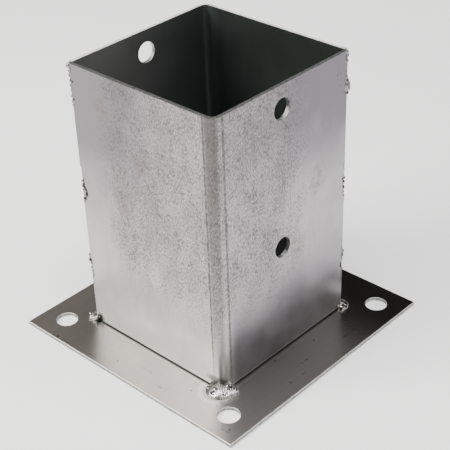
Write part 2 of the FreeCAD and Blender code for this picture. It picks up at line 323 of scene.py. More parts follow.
def grain(tree, place, size_mm, detail=2.0, stretch=(1, 1, 1), offset=0.0, roughness=0.5):
    """A noise pattern whose features are this many millimetres across."""
    shift = (offset, 2 * offset, 3 * offset)
    mapped = add(tree, "Mapping", {"Vector": place, "Scale": stretch, "Location": shift})
    scale = cycles_per_metre(size_mm)
    return add(
        tree, "TexNoise",
        {"Vector": mapped, "Scale": scale, "Detail": detail, "Roughness": roughness},
    )


def pepper(tree, place, size_mm, share, stretch=(1, 1, 1)):
    """Scattered dots of mixed sizes, one to a cell this many millimetres across.

    The share, from 0 to 1, says how far the dots have grown.
    """
    mapped = add(tree, "Mapping", {"Vector": place, "Scale": stretch})
    cells = add(
        tree, "TexVoronoi", {"Vector": mapped, "Scale": cycles_per_metre(size_mm)},
        voronoi_dimensions="2D",
    ).outputs
    chance = add(tree, "SeparateXYZ", (cells["Color"],))
    reach = masked(tree, share, chance, 0.2, 1.0, 0.0, 0.7)
    apart = add(tree, "Math", (cells["Distance"], reach), operation="SUBTRACT")
    return add(tree, "MapRange", (apart, 0.04, -0.14), **EASED)


def masked(tree, share, value, low, high, start=0.0, end=1.0):
    """A share scaled from start to end while a value goes from low to high, eased at both."""
    mask = add(tree, "MapRange", (value, low, high, start, end), **EASED)
    return add(tree, "Math", (share, mask), operation="MULTIPLY")


def coat(tree, base, layers):
    """Lay tones over a base tone in order, each by its share and any way of mixing it has."""
    base = rgb(base)
    for share, tone, *way in layers:
        base = add(
            tree, "Mix", {0: share, 6: base, 7: rgb(tone)},
            data_type="RGBA", blend_type=way[0] if way else "MIX",
        )
    return base


def distance_mm(tree, place, point):
    """Distance from a point of the piece, in millimetres."""
    apart = add(tree, "VectorMath", (place, point), operation="DISTANCE")
    return add(tree, "Math", (apart, 1 / MM), operation="MULTIPLY")


def rgb(value):
    """A colour property as a shader value."""
    return (value[0], value[1], value[2], 1.0)


# The corners of the sleeve's foot, where the beads lie on the plate
FOOT_Z = PLATE[1].z
LEFT_CORNER = Vector((FRONT[0].x, REAR[0].y, FOOT_Z))
RIGHT_CORNER = Vector((REAR[1].x, FRONT[1].y, FOOT_Z))
FRONT_CORNER = Vector((FRONT[1].x - 1.5 * MM, FRONT[0].y + 1.5 * MM, FOOT_Z))
BACK_CORNER = Vector((REAR[0].x + 1.5 * MM, REAR[1].y - 1.5 * MM, FOOT_Z))

# Marks of handling on the front sheet: place along the flat sheet from its bend and height,
# then the mark's reach both ways, all in millimetres
SMUDGES = ((-72, 134, 7, 9), (-62.5, 87, 8, 9), (-46, 113, 6, 7), (70, 92, 9, 12), (56, 60, 8, 10))
# Dark marks on the sleeve above its foot welds, heat tint with painted shade where the beads meet
# the sleeve, in the same way
HEAT_TINT_AND_SHADE = ((-88.8, 4.2, 3.6, 4.8), (-4.0, 7.0, 8.5, 3.6))
# Heights at which the arc has washed the seam edges of the front sheet, and half their length
WASHED = ((141, 17), (83, 13), (35, 13))
# Scuffs, in the same way, with how dark each is; the two long ones are broken and irregular
SCUFFS = (
    (84.4, 144, 1.0, 8, 0.9), (86.6, 139, 0.9, 7, 0.9), (89.5, 142, 0.8, 8, 0.7),
    (-40, 116, 0.6, 4, 0.8),
    (-33, 60, 0.5, 3.5, 0.8), (30, 96, 0.5, 4, 0.8), (22, 66, 0.6, 3, 0.8),
    (-16.4, 130, 1.2, 4, 0.9), (-26, 110, 2.6, 55, 0.6), (24, 98, 2.4, 62, 0.6),
)


def flat_place(tree):
    """Place on the flat sheet, from the piece's attribute, then its two parts in millimetres."""
    flat = add(tree, "Attribute", attribute_name="sheet").outputs["Vector"]
    parts = add(tree, "SeparateXYZ", (flat,)).outputs
    along, up = [add(tree, "Math", (parts[i], 1 / MM), operation="MULTIPLY") for i in (0, 1)]
    return flat, along, up


def stripe(tree, value, centre, half, strength=1.0):
    """A soft stripe where a value in millimetres is near a centre."""
    apart = add(tree, "Math", (value, centre), operation="SUBTRACT")
    apart = add(tree, "Math", (apart,), operation="ABSOLUTE")
    return add(tree, "MapRange", (apart, 0.45 * half, half, strength, 0.0), **EASED)


def oval(tree, flat, place, strength=1.0):
    """A soft oval on the flat sheet: its centre and its reach, both in millimetres."""
    along, up, reach_along, reach_up = place
    middle, reach = (along * MM, up * MM, 0), (reach_along * MM, reach_up * MM, 1)
    apart = add(tree, "VectorMath", (flat, middle), operation="SUBTRACT")
    share = add(tree, "VectorMath", (apart, reach), operation="DIVIDE")
    far = add(tree, "VectorMath", (share,), operation="LENGTH")
    return add(tree, "MapRange", (far, 0.35, 1.0, strength, 0.0), **EASED)


def zinc_sheet(name, offset, handled):
    """Hot-dipped zinc on rolled sheet: matt grey, peppered with dark flecks, ruled by the die.

    The flecks lie thick beside the bend and thin out towards the seams and the foot. The bending
    die has left two dark lines, and a browner band between them. Shade is painted into the
    colour as well: darker towards the rim, the seams and low on the +X leg, black in the gap
    over the plate, and a painted bluish cast of reflected light on the +X leg. The offset shifts
    the pattern, so that two sheets differ, and only a handled sheet has scuffs, smudges, and
    heat tint with painted shade above the foot welds.
    """
    colours = bpy.context.scene.post_base_colours
    material, tree, shader, _ = start_material(name)
    flat, along, up = flat_place(tree)
    moved = add(tree, "VectorMath", (flat, (offset, offset, 0)))
    far = add(tree, "Math", (along,), operation="ABSOLUTE")
    # Painted shade: darker towards the rim and the seams and low on the leg on the +X side, with
    # random clouds of duller zinc added in
    start = add(tree, "MapRange", (along, -3, 3, 40, 78), **EASED)
    shade_and_clouds = masked(tree, masked(tree, 1.0, up, start, 142), far, 12, 84, 0.3, 1.15)
    clouds = masked(tree, 0.22, grain(tree, moved, 24, detail=3), 0.35, 0.65)
    low = masked(tree, masked(tree, 0.8, up, 64, 24), along, 3, 10)
    for more in (clouds, masked(tree, low, along, 50, 90, 1.0, 0.5)):
        shade_and_clouds = add(tree, "Math", (shade_and_clouds, more), operation="ADD")
    # A painted bluish cast of reflected light on the leg on the +X side
    layers = [
        (shade_and_clouds, colours.zinc_shade),
        (masked(tree, 1.0, along, 3, 12), colours.painted_blue_cast, "MULTIPLY"),
    ]

    # Where the flecks lie thick: from the seams inwards, and from the foot up
    patch = grain(tree, moved, 11, detail=3, stretch=(1, 0.5, 1), offset=0.3)
    thick = masked(tree, masked(tree, 1.0, along, -90, -58), along, 86, 34)
    thick = masked(tree, masked(tree, thick, up, 4, 75), patch, 0.36, 0.58, 0.74)
    # The rubbed bend is the most thickly peppered of all
    tool = stripe(tree, along, -1.6, 4.4)
    thick = add(tree, "Math", (thick, masked(tree, tool, up, 10, 60)), operation="MAXIMUM")
    layers.append((masked(tree, tool, up, 15, 150, 0.4, 0.9), colours.tool_band))
    # A grain of about 0.7 mm, taller than it is wide. The dip leaves a finer one, drawn coarser
    # here so that it shows
    fine = grain(tree, moved, 0.75, detail=3, stretch=(1, 0.5, 1), roughness=0.8)
    lift = add(tree, "MapRange", (thick, 0.0, 1.0, -0.2, 0.0), **EASED)
    fine = masked(tree, 0.78, add(tree, "Math", (fine, lift), operation="ADD"), 0.405, 0.585)
    # Round dots, one to a cell of about 1 mm, are fewer and lie in clusters
    cluster = masked(tree, thick, grain(tree, moved, 7, detail=3, offset=0.6), 0.4, 0.6, 0.35)
    dots = pepper(tree, moved, 0.95, cluster, stretch=(1, 0.6, 1))
    dots = add(tree, "Math", (dots, 0.9), operation="MULTIPLY")
    dark = add(tree, "Math", (fine, dots), operation="MAXIMUM")
    # Faint streaks down the sheet, where the zinc has run off
    runs = grain(tree, moved, 2.2, detail=4, stretch=(1, 0.12, 1), offset=0.9, roughness=0.65)
    layers.append((masked(tree, thick, runs, 0.42, 0.66, 0.0, 0.32), colours.zinc_shade))
    layers.append((add(tree, "Math", (dark, 0.8), operation="MULTIPLY"), colours.speck))

    # The die's marks on both sides of the bend, broken here and there
    pattern = grain(tree, moved, 1.0, detail=2, stretch=(0.6, 0.5, 1))
    for centre, half, strength in ((-5.5, 0.8, 0.9), (4.6, 0.95, 0.8)):
        line = masked(tree, stripe(tree, along, centre, half, strength), up, 6, 40, 0.5)
        layers.append((masked(tree, line, pattern, 0.35, 0.55, 0.45), colours.speck))
    # Painted shadow in the gap over the plate, below a thin lighter line
    foot = FRONT[0].z / MM
    layers.append((stripe(tree, up, foot + 1.3, 0.45, 0.25), colours.bright))
    layers.append((masked(tree, 0.95, up, foot + 0.55, foot + 0.95, 1.0, 0.0), colours.soot_and_shade))

    if handled:
        pattern = grain(tree, flat, 5, detail=2)
        reach = add(tree, "MapRange", (pattern, 0.3, 0.7, 90.2, 92.9), **EASED)
        reach = add(tree, "Math", (reach, far), operation="SUBTRACT")
        pattern = grain(tree, flat, 1.6, detail=2)
        rim = masked(tree, stripe(tree, reach, 0.0, 0.7, 0.95), pattern, 0.42, 0.56)
        for height, tall in WASHED:
            level = stripe(tree, up, height, tall)
            layers.append((masked(tree, level, reach, 0.2, -0.2), colours.washed))
            layers.append((add(tree, "Math", (rim, level), operation="MULTIPLY"), colours.soot_and_shade))
        # Heat tint with painted shade above the foot welds
        for shadow in HEAT_TINT_AND_SHADE:
            layers.append((oval(tree, flat, shadow, 0.8), colours.cut_shade))
        pattern = grain(tree, flat, 3.5, detail=4, roughness=0.7)
        for smudge in SMUDGES:
            share = masked(tree, oval(tree, flat, smudge, 0.5), pattern, 0.35, 0.65)
            layers.append((share, colours.smudge))
        pattern = grain(tree, flat, 2.4, detail=4, roughness=0.7)
        for *mark, strength in SCUFFS:
            share = masked(tree, oval(tree, flat, mark, strength), pattern, 0.54, 0.62)
            layers.append((share, colours.cut_shade))
    feed(tree, shader.inputs["Base Color"], coat(tree, colours.zinc, layers))
    pattern = grain(tree, moved, 9, detail=3, offset=0.7)
    rough = add(tree, "MapRange", (pattern, 0.3, 0.7, 0.3, 0.36), **EASED)
    duller = add(tree, "Math", (dark, 0.12), operation="MULTIPLY")
    feed(tree, shader.inputs["Roughness"], add(tree, "Math", (rough, duller), operation="ADD"))
    shader.inputs["Metallic"].default_value = 1.0
    # The flecks are pits and the die's lines are grooves of a few hundredths of a millimetre
    depth = add(tree, "Math", (dark, 0.4), operation="MULTIPLY")
    for centre in (-5.0, 4.1):
        depth = add(tree, "Math", (depth, stripe(tree, along, centre, 0.9)), operation="MAXIMUM")
    relief = {"Height": depth, "Strength": 0.35, "Distance": 0.06 * MM}
    feed(tree, shader.inputs["Normal"], add(tree, "Bump", relief, invert=True))
    return material


def zinc_inside():
    """The sheets' inner faces: zinc darkened as painted shade, near black where the socket lets in
    no light.
    """
    colours = bpy.context.scene.post_base_colours
    material, tree, shader, _ = start_material("zinc_inner_faces")
    flat, along, _ = flat_place(tree)
    streaks = grain(tree, flat, 5, detail=4, stretch=(1, 0.25, 1))
    fine = grain(tree, flat, 1.1, detail=3, roughness=0.7)
    # Painted shade: the inner faces start from a dark copy of the zinc
    feed(tree, shader.inputs["Base Color"], coat(tree, colours.inside, (
        (masked(tree, 0.14, streaks, 0.4, 0.7), colours.inside_streak),
        (masked(tree, 0.22, fine, 0.6, 0.72), colours.zinc_shade),
        (stripe(tree, along, 0.6, 0.9, 0.5), colours.zinc_shade),
        # Painted light on the leg with positive along, lifting it towards the clean zinc
        (masked(tree, 1.0, along, 0, 88, 0.05, 0.75), colours.zinc),
        # Painted shade on the other leg
        (masked(tree, 0.48, along, -4, -12), colours.soot_and_shade),
    )))
    shader.inputs["Metallic"].default_value = 0.95
    pattern = grain(tree, flat, 30, detail=1)
    rough = add(tree, "MapRange", (pattern, 0.3, 0.7, 0.46, 0.52), **EASED)
    feed(tree, shader.inputs["Roughness"], rough)
    return material


# Marks on the plate: place in millimetres, then reach both ways
PLATE_PITS = ((65, -67.5, 4.5, 2.2), (-50, -73, 12, 1.6), (-22, -71.5, 7, 1.8))
PLATE_SCRATCHES = (
    (5, -61, 6.5, 1.6), (20, -66, 5, 1.2), (61, -3, 0.6, 9), (64, 27, 0.6, 11), (67, -13, 0.8, 4),
)
PLATE_DOTS = ((53.6, 12.7), (66.5, -21.2), (49.4, -13.5), (-12, -66), (33, -58))


def zinc_plate():
    """Smooth satin zinc: even, finely ruled by the rolls, with a few pits and hair scratches."""
    colours = bpy.context.scene.post_base_colours
    material, tree, shader, place = start_material("satin_zinc_plate")
    ruled = grain(tree, place, 1.2, detail=3, stretch=(1, 0.03, 1))
    layers = [
        (masked(tree, 0.2, grain(tree, place, 60, detail=1), 0.35, 0.65), colours.zinc_shade),
        (masked(tree, 0.05, ruled, 0.3, 0.7), colours.speck),
    ]
    pattern = grain(tree, place, 2.2, detail=3, roughness=0.7)
    for spot in PLATE_PITS:
        share = masked(tree, oval(tree, place, spot, 0.95), pattern, 0.54, 0.6)
        layers.append((share, colours.soot_and_shade))
    pattern = grain(tree, place, 1.6, detail=3, roughness=0.65)
    for spot in PLATE_SCRATCHES:
        share = masked(tree, oval(tree, place, spot, 0.5), pattern, 0.46, 0.58)
        layers.append((share, colours.speck))
    for x, y in PLATE_DOTS:
        layers.append((oval(tree, place, (x, y, 0.6, 0.6)), colours.soot_and_shade))
    # A pale ring of heat round the front bead
    apart = distance_mm(tree, place, FRONT_CORNER + Vector((-1.5 * MM, -2.5 * MM, 0)))
    ragged = add(tree, "MapRange", (grain(tree, place, 5), 0.3, 0.7, -0.7, 0.7), **EASED)
    ragged = add(tree, "Math", (apart, ragged), operation="ADD")
    layers.append((stripe(tree, ragged, 9.6, 1.5, 0.3), colours.bright))
    feed(tree, shader.inputs["Base Color"], coat(tree, colours.plate, layers))
    # Rubbed satin towards the -Y edge, and glossier towards +Y
    across = add(tree, "SeparateXYZ", (place,)).outputs[1]
    rough = add(tree, "MapRange", (across, 15 * MM, 60 * MM, 0.32, 0.21), **EASED)
    feed(tree, shader.inputs["Roughness"], rough)
    shader.inputs["Metallic"].default_value = 1.0
    return material


def cut_steel():
    """Sheared steel: the dark grey, dotted tear that the shear leaves through the sheet."""
    colours = bpy.context.scene.post_base_colours
    material, tree, shader, place = start_material("sheared_steel_face")
    dots = masked(tree, 1.0, grain(tree, place, 1.3, detail=3, roughness=0.65), 0.42, 0.6)
    height = add(tree, "SeparateXYZ", (place,)).outputs[2]
    foot, top = FRONT[0].z, FRONT[1].z
    gap = masked(tree, 0.95, height, foot + 1.0 * MM, foot + 1.6 * MM, 1.0, 0.0)
    # Painted shadow darkens the faces in the gap over the plate, and the rim's torn face is darker
    # than the holes'
    feed(tree, shader.inputs["Base Color"], coat(tree, colours.cut, (
        (add(tree, "Math", (dots, 0.6), operation="MULTIPLY"), colours.cut_shade),
        (masked(tree, gap, height, PLATE[1].z - NEAR, PLATE[1].z + NEAR), colours.soot_and_shade),
        (masked(tree, 0.5, height, top - 0.6 * MM, top - 0.1 * MM), colours.cut_shade),
    )))
    shader.inputs["Metallic"].default_value = 1.0
    shader.inputs["Roughness"].default_value = 0.5
    relief = {"Height": dots, "Strength": 0.4, "Distance": 0.12 * MM}
    feed(tree, shader.inputs["Normal"], add(tree, "Bump", relief))
    return material


def bare_edge():
    """The burnished lip of a shear cut, rubbed bright by handling, with darker nicks; it is also a
    painted highlight on the rear sheet's flat rim.
    """
    colours = bpy.context.scene.post_base_colours
    material, tree, shader, place = start_material("burnished_edge_and_highlight")
    nicks = masked(tree, 0.35, grain(tree, place, 2.4, detail=3, roughness=0.65), 0.5, 0.66)
    base = coat(tree, colours.bright, ((nicks, colours.speck),))
    feed(tree, shader.inputs["Base Color"], base)
    shader.inputs["Metallic"].default_value = 1.0
    # Rubbed with grit along the rim, so it spreads the light from above
    height = add(tree, "SeparateXYZ", (place,)).outputs[2]
    top = FRONT[1].z
    rough = add(tree, "MapRange", (height, top - 1.0 * MM, top - 0.6 * MM, 0.45, 0.8), **EASED)
    feed(tree, shader.inputs["Roughness"], rough)
    return material


def weld_metal(name, metal, pitted):
    """Steel weld metal as it set: smooth and rippled, with sooty pits in the hollows, and painted
    shade and painted dark reflection on parts of the foot beads.

    The lower the pitted value, from 0 to 1, the more pits there are.
    """
    colours = bpy.context.scene.post_base_colours
    material, tree, shader, place = start_material(name)
    pits = grain(tree, place, 2.6, detail=3, offset=0.2, roughness=0.62)
    layers = [(masked(tree, 0.9, pits, pitted, pitted + 0.07), colours.soot_and_shade)]
    # Sooty pits, with painted shade on the left foot bead and painted dark reflection on the right
    # one
    for hole, reach in BEAD_PITS_AND_SHADE:
        apart = distance_mm(tree, place, hole)
        layers.append((masked(tree, 0.97, apart, 0.6 * reach, reach, 1.0, 0.0), colours.soot_and_shade))
    feed(tree, shader.inputs["Base Color"], coat(tree, metal, layers))
    shader.inputs["Metallic"].default_value = 1.0
    pattern = grain(tree, place, 2.5, detail=2, offset=0.5)
    rough = add(tree, "MapRange", (pattern, 0.3, 0.7, 0.2, 0.36), **EASED)
    feed(tree, shader.inputs["Roughness"], rough)
    relief = {"Height": grain(tree, place, 1.4, detail=2), "Strength": 0.35, "Distance": 0.2 * MM}
    feed(tree, shader.inputs["Normal"], add(tree, "Bump", relief))
    return material


# Pieces


def sheet_angle(name):
    """Bend one angle from flat sheet: two legs and a bend, its outside corner at the origin."""
    sizes = bpy.context.scene.post_base_sizes
    low, high = FRONT
    radius = sizes.bend
    flat = high.x - low.x - radius
    tall = high.z - low.z
    clear_selection()
    bpy.ops.mesh.primitive_plane_add(size=1, rotation=(math.radians(90), 0, 0))
    piece = bpy.context.object
    piece.name = name
    settle(piece)
    bpy.ops.object.mode_set(mode="EDIT")
    bpy.ops.mesh.select_all(action="SELECT")
    bpy.ops.transform.resize(value=(flat, 1, tall))
    bpy.ops.transform.translate(value=(-radius - flat / 2, 0, low.z + tall / 2))
    pick_edges(piece, lambda a, b: min(a.x, b.x) > -radius - HAIR)
    bpy.ops.mesh.spin(
        steps=14, angle=math.radians(90), center=(-radius, radius, 0), axis=(0, 0, -1)
    )
    bpy.ops.mesh.extrude_region_move(TRANSFORM_OT_translate={"value": (0, flat, 0)})
    bpy.ops.mesh.select_all(action="SELECT")
    bpy.ops.mesh.remove_doubles(threshold=0.1 * HAIR)
    bpy.ops.object.mode_set(mode="OBJECT")
    return piece


def bend_and_place(name, corner, turn):
    """Make the angle solid, turn it to its corner and write its place into its mesh."""
    sizes = bpy.context.scene.post_base_sizes
    piece = sheet_angle(name)
    leg = min(piece.data.polygons, key=lambda face: face.center.y)
    if leg.normal.y > 0:
        only(piece)
        bpy.ops.object.mode_set(mode="EDIT")
        bpy.ops.mesh.select_all(action="SELECT")
        bpy.ops.mesh.flip_normals()
        bpy.ops.object.mode_set(mode="OBJECT")
    apply_modifier(piece, "SOLIDIFY", thickness=sizes.gauge, offset=-1.0, use_even_offset=True)
    piece.rotation_euler = (0, 0, math.radians(turn))
    piece.location = (corner[0], corner[1], 0)
    settle(piece)
    return piece


def map_sheet(piece, corner, turn):
    """Store each point's place on the flat sheet: along it from the bend, up it and through it."""
    sizes = bpy.context.scene.post_base_sizes
    radius = sizes.bend
    half = radius * math.pi / 4
    back = Matrix.Rotation(-math.radians(turn), 3, "Z")
    flat = piece.data.attributes.new("sheet", "FLOAT_VECTOR", "POINT")
    for index, vertex in enumerate(piece.data.vertices):
        at = back @ (vertex.co - Vector((corner[0], corner[1], 0))) + Vector((radius, -radius, 0))
        if at.x < 0:
            along, depth = at.x - half, radius + at.y
        elif at.y > 0:
            along, depth = at.y + half, radius - at.x
        else:
            along = radius * (math.atan2(at.x, -at.y)) - half
            depth = radius - math.hypot(at.x, at.y)
        flat.data[index].vector = (along, vertex.co.z, depth)


def bite(piece, place, reach):
    """Melt a shallow oval out of a sheet's edge where the weld has washed it away."""
    clear_selection()
    bpy.ops.mesh.primitive_uv_sphere_add(
        segments=20, ring_count=12, radius=1, location=place, scale=reach
    )
    cutter = bpy.context.object
    settle(cutter)
    subtract(piece, cutter)


def round_sheet(piece):
    """Roll the rim's outer edge and the foot's over, and ease the other cut edges."""
    sizes = bpy.context.scene.post_base_sizes
    low, top = FRONT[0].z, FRONT[1].z
    small = sizes.deburr / sizes.rim_roll
    foot = sizes.foot_roll / sizes.rim_roll

    def rule(a, b):
        within = on_inside(a) and on_inside(b)
        if min(a.z, b.z) > top - HAIR:
            return small if within else 1.0
        if max(a.z, b.z) < low + HAIR:
            return small if within else foot
        return small

    weigh_edges(piece, rule)
    apply_modifier(
        piece, "BEVEL", width=sizes.rim_roll, segments=4, limit_method="WEIGHT",
        affect="EDGES", use_clamp_overlap=True
    )
    smooth(piece)


def on_inside(point):
    """True for a point on the inner faces of the sleeve."""
    sizes = bpy.context.scene.post_base_sizes
    gauge = sizes.gauge
    reach = 0.3 * gauge
    return (
        REAR[0].x + gauge - reach < point.x < FRONT[1].x - gauge + reach
        and FRONT[0].y + gauge - reach < point.y < REAR[1].y - gauge + reach
    )


def hole_centres(*mounts):
    """Centres of the two screw holes in each of the walls that the mounts stand on."""
    return [
        Vector(mount["pos_m"]) + Vector((0, 0, side * mount["dims"]["spacing_y_mm"] * MM / 2))
        for mount in mounts for side in (-1, 1)
    ]


OUTER, INNER, CUT, LIP = range(4)


def finish_of(face, front):
    """Which finish a face of a sheet has: outer or inner zinc, torn cut face or bright lip.

    The front sheet's flat rim shows its torn face and its rounding the bright lip; on the rear
    sheet they change places, so that its flat rim carries a painted highlight.
    """
    sizes = bpy.context.scene.post_base_sizes
    mid, normal = face.center, face.normal
    low, high = FRONT
    if mid.z > high.z - 1.1 * sizes.rim_roll and normal.z > 0.08:
        # The rear sheet's flat rim gets the bright lip as a painted highlight
        return CUT if (normal.z > 0.97) == front else LIP
    if mid.z < low.z + 1.1 * sizes.foot_roll and normal.z < -0.08:
        return CUT
    for centre in hole_centres(MOUNTS["post_screws_right"], MOUNTS["post_screws_left"]):
        flat = Vector((0, mid.y - centre.y, mid.z - centre.z))
        if abs(mid.x - centre.x) < 3 * MM and abs(normal.x) < 0.93 and flat.length < 5.8 * MM:
            return CUT if abs(normal.x) < 0.3 else LIP
    edge = 1.1 * sizes.gauge
    ends = (
        (abs(mid.x - low.x) < NEAR and mid.y < low.y + edge)
        or (abs(mid.y - high.y) < NEAR and mid.x > high.x - edge)
        or (abs(mid.x - REAR[1].x) < NEAR and mid.y > REAR[1].y - edge)
        or (abs(mid.y - REAR[0].y) < NEAR and mid.x < REAR[0].x + edge)
    )
    if ends and max(abs(normal.x), abs(normal.y)) > 0.97:
        return CUT
    return INNER if on_inside(mid) else OUTER


# Where the arc has washed the front sheet's edges away beside its stitches: place, then reach
MELTED = (
    ((FRONT[0].x, FRONT[0].y, 88 * MM), (2.0 * MM, 1.0 * MM, 9.0 * MM)),
    ((FRONT[0].x, FRONT[0].y, 82 * MM), (3.8 * MM, 0.9 * MM, 5.0 * MM)),
    ((FRONT[0].x, FRONT[0].y, 39 * MM), (0.7 * MM, 0.8 * MM, 4.0 * MM)),
    ((FRONT[1].x, FRONT[1].y, 78 * MM), (1.1 * MM, 1.3 * MM, 6.5 * MM)),
    ((FRONT[1].x, FRONT[1].y, 31 * MM), (1.2 * MM, 1.9 * MM, 2.6 * MM)),
)


class POSTBASE_OT_sleeve(bpy.types.Operator):
    """Bend the two sheets of the sleeve, drill their screw holes and melt the front sheet's seam
    edges back
    """

    bl_idname = "post_base.sleeve"
    bl_label = "Sleeve Sheets"

    def execute(self, context):
        inside, cut, lip = zinc_inside(), cut_steel(), bare_edge()
        for name, node, corner, turn, mount in (
            ("front_sheet", "front_angle", (FRONT[1].x, FRONT[0].y), 0, "post_screws_right"),
            ("rear_sheet", "rear_angle", (REAR[0].x, REAR[1].y), 180, "post_screws_left"),
        ):
            front = turn == 0
            piece = bend_and_place(name, corner, turn)
            holes = MOUNTS[mount]
            for centre in hole_centres(holes):
                drill(piece, centre, holes["axis"], holes["dims"]["hole_r_mm"] * MM)
            for place, reach in MELTED if front else ():
                bite(piece, place, reach)
            round_sheet(piece)
            map_sheet(piece, corner, turn)
            outer = zinc_sheet("zinc_coated_" + name, 0.0 if front else 0.3, front)
            paint(piece, outer, inside, cut, lip)
            paint_faces(piece, lambda face: finish_of(face, front))
            finish_piece(piece, "sleeve_sheet", node)
        return {"FINISHED"}


class POSTBASE_OT_plate(bpy.types.Operator):
    """Cut the base plate and drill its four anchor holes"""

    bl_idname = "post_base.plate"
    bl_label = "Base Plate"

    def execute(self, context):
        sizes = context.scene.post_base_sizes
        low, high = PLATE
        clear_selection()
        bpy.ops.mesh.primitive_cube_add(size=1, location=(low + high) / 2, scale=high - low)
        piece = context.object
        piece.name = "plate_sheet"
        settle(piece)
        mount = MOUNTS["anchor_holes"]
        dims = mount["dims"]
        for x in (-1, 1):
            for y in (-1, 1):
                place = Vector(mount["pos_m"]) + Vector(
                    (x * dims["spacing_x_mm"] * MM / 2, y * dims["spacing_y_mm"] * MM / 2, 0)
                )
                drill(piece, place, mount["axis"], dims["hole_r_mm"] * MM)
        small = sizes.deburr / sizes.plate_roll
        edge = high.x - HAIR

        def rule(a, b):
            outer = (abs(a.x) > edge and abs(b.x) > edge) or (abs(a.y) > edge and abs(b.y) > edge)
            upper = a.z > high.z - HAIR and b.z > high.z - HAIR
            return 1.0 if outer and upper else small

        weigh_edges(piece, rule)
        apply_modifier(
            piece, "BEVEL", width=sizes.plate_roll, segments=3, limit_method="WEIGHT",
            affect="EDGES", use_clamp_overlap=True
        )
        smooth(piece)
        paint(piece, zinc_plate(), cut_steel(), bare_edge())

        def finish(face):
            level = abs(face.normal.z)
            return 1 if level < 0.2 else 2 if level < 0.97 else 0

        paint_faces(piece, finish)
        finish_piece(piece, "plate_sheet", "base_plate")
        return {"FINISHED"}


def melt(name, drops, detail, material):
    """Run drops of melt together into one bead: each drop is a place, three radii and a turn."""
    made = []
    for place, radii, turn in drops:
        clear_selection()
        bpy.ops.mesh.primitive_uv_sphere_add(
            segments=24, ring_count=16, radius=1, location=place, rotation=(0, 0, turn), scale=radii
        )
        made.append(bpy.context.object)
        settle(made[-1])
    clear_selection()
    for drop in made:
        drop.select_set(True)
    bpy.context.view_layer.objects.active = made[0]
    bpy.ops.object.join()
    bead = made[0]
    bead.name = name
    bead.data.name = name
    apply_modifier(bead, "REMESH", mode="VOXEL", voxel_size=detail)
    apply_modifier(bead, "SMOOTH", factor=0.5, iterations=2)
    only(bead)
    bpy.ops.object.shade_smooth()
    paint(bead, material)
    return bead


# The drops of melt in each stitch, from its foot end up: share of its height, how far the drop
# leans over the front sheet's edge, and its radius, the last two in millimetres
STITCHES = {
    ("left", "top"): (
        (0.02, 0.5, 0.7), (0.12, 0.7, 0.9), (0.24, 0.5, 0.85), (0.36, 0.8, 1.0), (0.48, 0.6, 0.9),
        (0.6, 0.9, 1.05), (0.72, 0.8, 1.15), (0.82, 0.5, 1.1), (0.92, -0.2, 1.3),
    ),
    ("left", "middle"): (
        (0.08, 0.6, 0.6), (0.22, 1.3, 1.0), (0.38, 2.0, 1.3), (0.55, 2.0, 1.35), (0.72, 1.2, 1.1),
        (0.88, 0.5, 0.7),
    ),
    ("left", "lower"): (
        (0.1, 0.4, 0.6), (0.3, 0.6, 0.8), (0.48, 0.4, 0.75), (0.66, 0.0, 1.3), (0.85, 0.2, 1.0),
    ),
    ("right", "top"): (
        (0.03, 0.2, 1.2), (0.12, 0.1, 1.7), (0.2, 0.2, 1.85), (0.3, 0.7, 1.4), (0.4, 1.2, 1.2),
        (0.52, 1.5, 1.05), (0.64, 1.4, 1.0), (0.76, 1.0, 1.15), (0.88, 0.7, 1.1), (0.95, 0.5, 0.8),
    ),
    ("right", "middle"): (
        (0.06, 0.5, 0.7), (0.22, 1.0, 1.0), (0.4, 1.6, 1.1), (0.58, 1.4, 1.15), (0.76, 0.9, 1.0),
        (0.92, 0.5, 0.8),
    ),
    ("right", "lower"): (
        (0.08, 0.6, 0.9), (0.24, 1.6, 1.1), (0.42, 2.0, 1.2), (0.58, 1.2, 1.1), (0.74, 0.4, 1.0),
        (0.9, 0.0, 1.1),
    ),
}


class POSTBASE_OT_seam_welds(bpy.types.Operator):
    """Lay the six stitch welds in the open grooves of the two seams"""

    bl_idname = "post_base.seam_welds"
    bl_label = "Seam Welds"

    def execute(self, context):
        sizes = context.scene.post_base_sizes
        colours = context.scene.post_base_colours
        metal = weld_metal("dull_seam_weld", colours.seam_weld, 0.46)
        sink = 0.55 * sizes.gauge
        for (seam, part), stitch in STITCHES.items():
            side = -1 if seam == "left" else 1
            node = "%s_seam_weld_%s" % (seam, part)
            low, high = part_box(node)
            inner = low if side > 0 else high
            drops = []
            for share, lean, radius in stitch:
                out = sink * side
                over = -side * lean * MM
                place = Vector((inner.x + out, inner.y + out, low.z + share * (high.z - low.z)))
                place += Vector((over, 0, 0)) if seam == "left" else Vector((0, over, 0))
                drops.append((place, (radius * MM, radius * MM, 1.15 * radius * MM), 0.0))
            bead = melt("weld_%s_%s" % (seam, part), drops, STITCH_DETAIL, metal)
            finish_piece(bead, "weld_metal", node)
        return {"FINISHED"}


